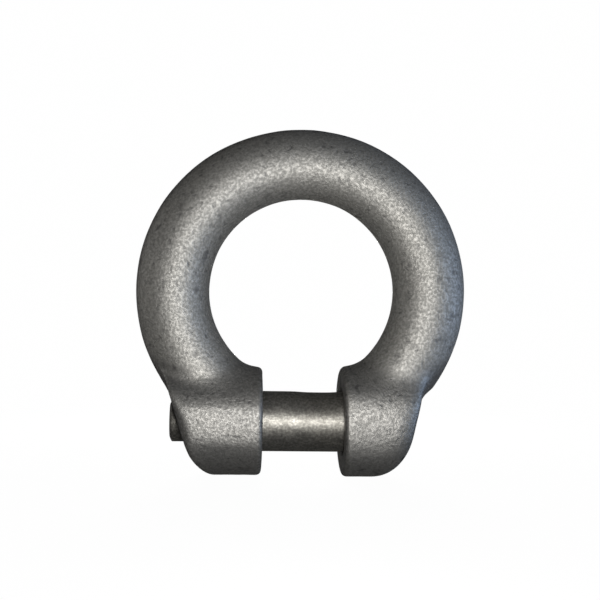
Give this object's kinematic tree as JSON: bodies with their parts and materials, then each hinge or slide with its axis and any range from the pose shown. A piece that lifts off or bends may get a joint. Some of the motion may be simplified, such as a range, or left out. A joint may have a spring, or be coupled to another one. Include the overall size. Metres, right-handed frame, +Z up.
{
  "type": "ring shackle",
  "caption": "Forged round ring shackle whose ends form a clevis, closed by a recessed screw pin; it links a rope, chain or hook to a deck eye or lug.",
  "frame": {"origin": "on the pin's axis, halfway between the inner faces of the two ears", "axes": "+X along the pin, towards its drive end and the way it leaves; +Z up to the eye of the ring; Y through the ring's thickness, with the seen face at -Y"},
  "size_m": [0.12, 0.0396, 0.1274],
  "materials": {
    "forged_steel": "shot-blasted dark forged steel with a fine pitted skin",
    "pin_steel": "dark turned steel, smoother than the forging"
  },
  "bodies": {
    "ring": {"ring_body": "forged_steel"},
    "pin": {"screw_pin": "pin_steel"}
  },
  "joints": [
    {"name": "pin_withdraw", "type": "slide", "parent": "ring", "child": "pin", "axis": [1, 0, 0], "range_m": [0, 0.095]}
  ]
}
